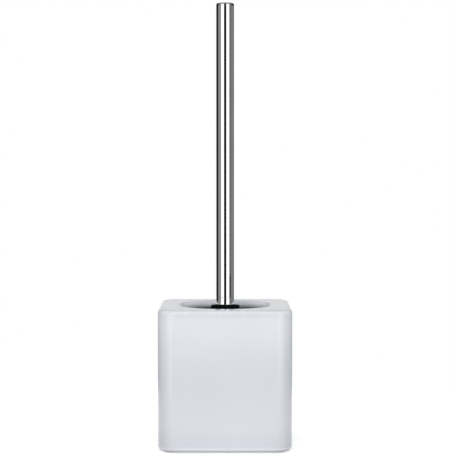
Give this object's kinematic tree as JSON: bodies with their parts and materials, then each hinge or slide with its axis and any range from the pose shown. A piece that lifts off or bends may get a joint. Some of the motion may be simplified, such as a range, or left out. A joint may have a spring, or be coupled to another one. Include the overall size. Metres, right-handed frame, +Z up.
{
  "type": "toilet brush holder",
  "caption": "Square white ceramic toilet brush holder with a round mouth, and a lift-out brush with a straight chromed tube handle and a screw-on tufted head.",
  "frame": {"origin": "on the ground below the middle of the holder, at the centre of its bounding box's bottom", "axes": "+Z up along the handle, -Y towards the front face, +X to the right seen from the front"},
  "size_m": [0.11, 0.11, 0.37],
  "materials": {
    "glazed_ceramic": "gloss",
    "pad_silicone": "satin",
    "chrome": "polished",
    "stud_steel": "satin",
    "washer_rubber": "matte",
    "black_plastic": "satin",
    "anchor_wire": "satin",
    "bristle": "satin"
  },
  "bodies": {
    "holder": {"holder_body": "glazed_ceramic", "foot_pad_1": "pad_silicone", "foot_pad_2": "pad_silicone", "foot_pad_3": "pad_silicone", "foot_pad_4": "pad_silicone"},
    "collar": {"drip_collar": "black_plastic"},
    "brush_head": {"head_core": "black_plastic", "tuft_anchors": "anchor_wire", "tuft_row_1": "bristle", "tuft_row_2": "bristle", "tuft_row_3": "bristle", "tuft_row_4": "bristle", "tuft_row_5": "bristle", "tuft_row_6": "bristle", "tuft_row_7": "bristle", "tuft_row_8": "bristle", "tuft_row_9": "bristle", "tuft_row_10": "bristle"},
    "washer": {"seal_washer": "washer_rubber"},
    "handle": {"handle_tube": "chrome", "handle_end_cap": "chrome", "handle_ferrule": "chrome", "threaded_stud": "stud_steel"}
  },
  "joints": [
    {"name": "brush_lift", "type": "slide", "parent": "holder", "child": "collar", "axis": [0, 0, 1], "range_m": [0, 0.13]},
    {"name": "brush_turn", "type": "hinge", "parent": "collar", "child": "brush_head", "pos_m": [0, 0, 0.1114], "axis": [0, 0, 1], "continuous": true},
    {"name": "handle_unscrew", "type": "hinge", "parent": "brush_head", "child": "washer", "pos_m": [0, 0, 0.1161], "axis": [0, 0, 1], "range_deg": [0, 1800]},
    {"name": "handle_travel", "type": "slide", "parent": "washer", "child": "handle", "axis": [0, 0, 1], "range_m": [0, 0.015]}
  ],
  "couplings": [
    {"joint": "handle_travel", "follows": "handle_unscrew", "m_per_rad": 0.000477}
  ]
}
